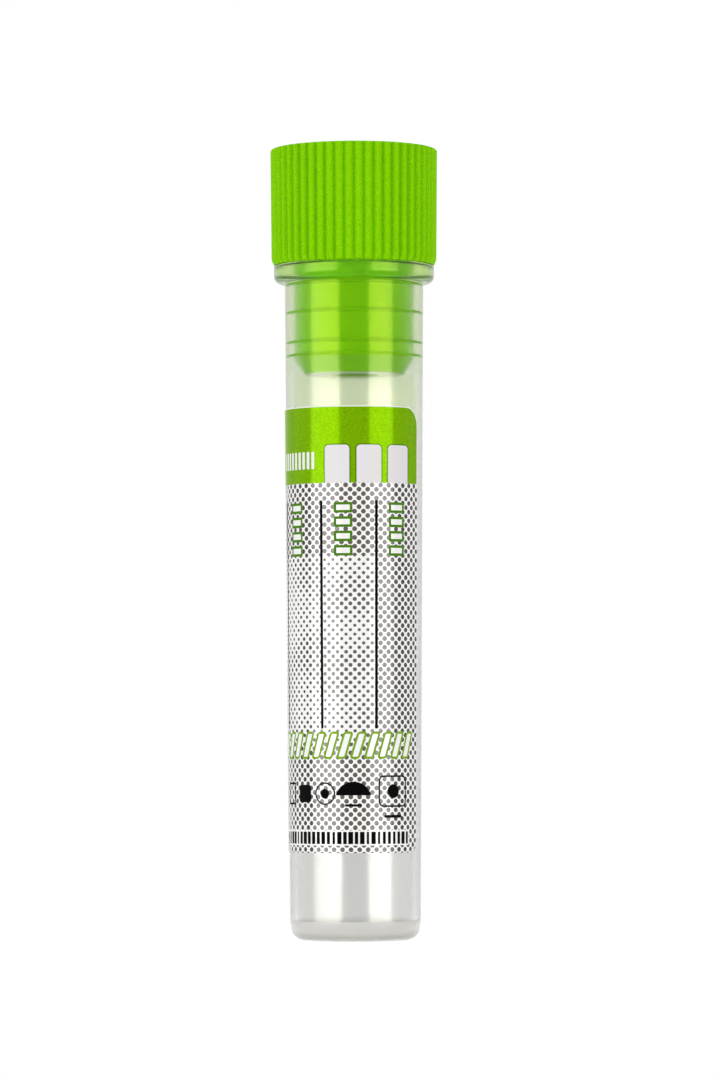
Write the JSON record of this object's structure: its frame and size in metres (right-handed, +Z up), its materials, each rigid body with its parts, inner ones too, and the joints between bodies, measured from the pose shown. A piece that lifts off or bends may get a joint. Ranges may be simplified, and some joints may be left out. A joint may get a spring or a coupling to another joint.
{
  "type": "blood collection tube",
  "caption": "Small clear flat-bottomed blood collection tube with a collar, a ribbed green push-in stopper that pulls off upwards, and a wrapped label with plain coloured print.",
  "frame": {"origin": "middle of the tube's flat base, on the surface that it stands on", "axes": "+Z up the tube's axis towards the stopper, -Y out of the front of the label, +X towards the label's right-hand edge as seen from the front"},
  "size_m": [0.0144, 0.0144, 0.0684],
  "materials": {
    "clear_tube": "gloss",
    "green_stopper": "satin",
    "printed_label": "satin"
  },
  "bodies": {
    "tube": {"tube": "clear_tube", "label": "printed_label"},
    "cap": {"cap": "green_stopper"}
  },
  "joints": [
    {"name": "cap_pull", "type": "slide", "parent": "tube", "child": "cap", "axis": [0, 0, 1], "range_m": [0, 0.025]}
  ]
}
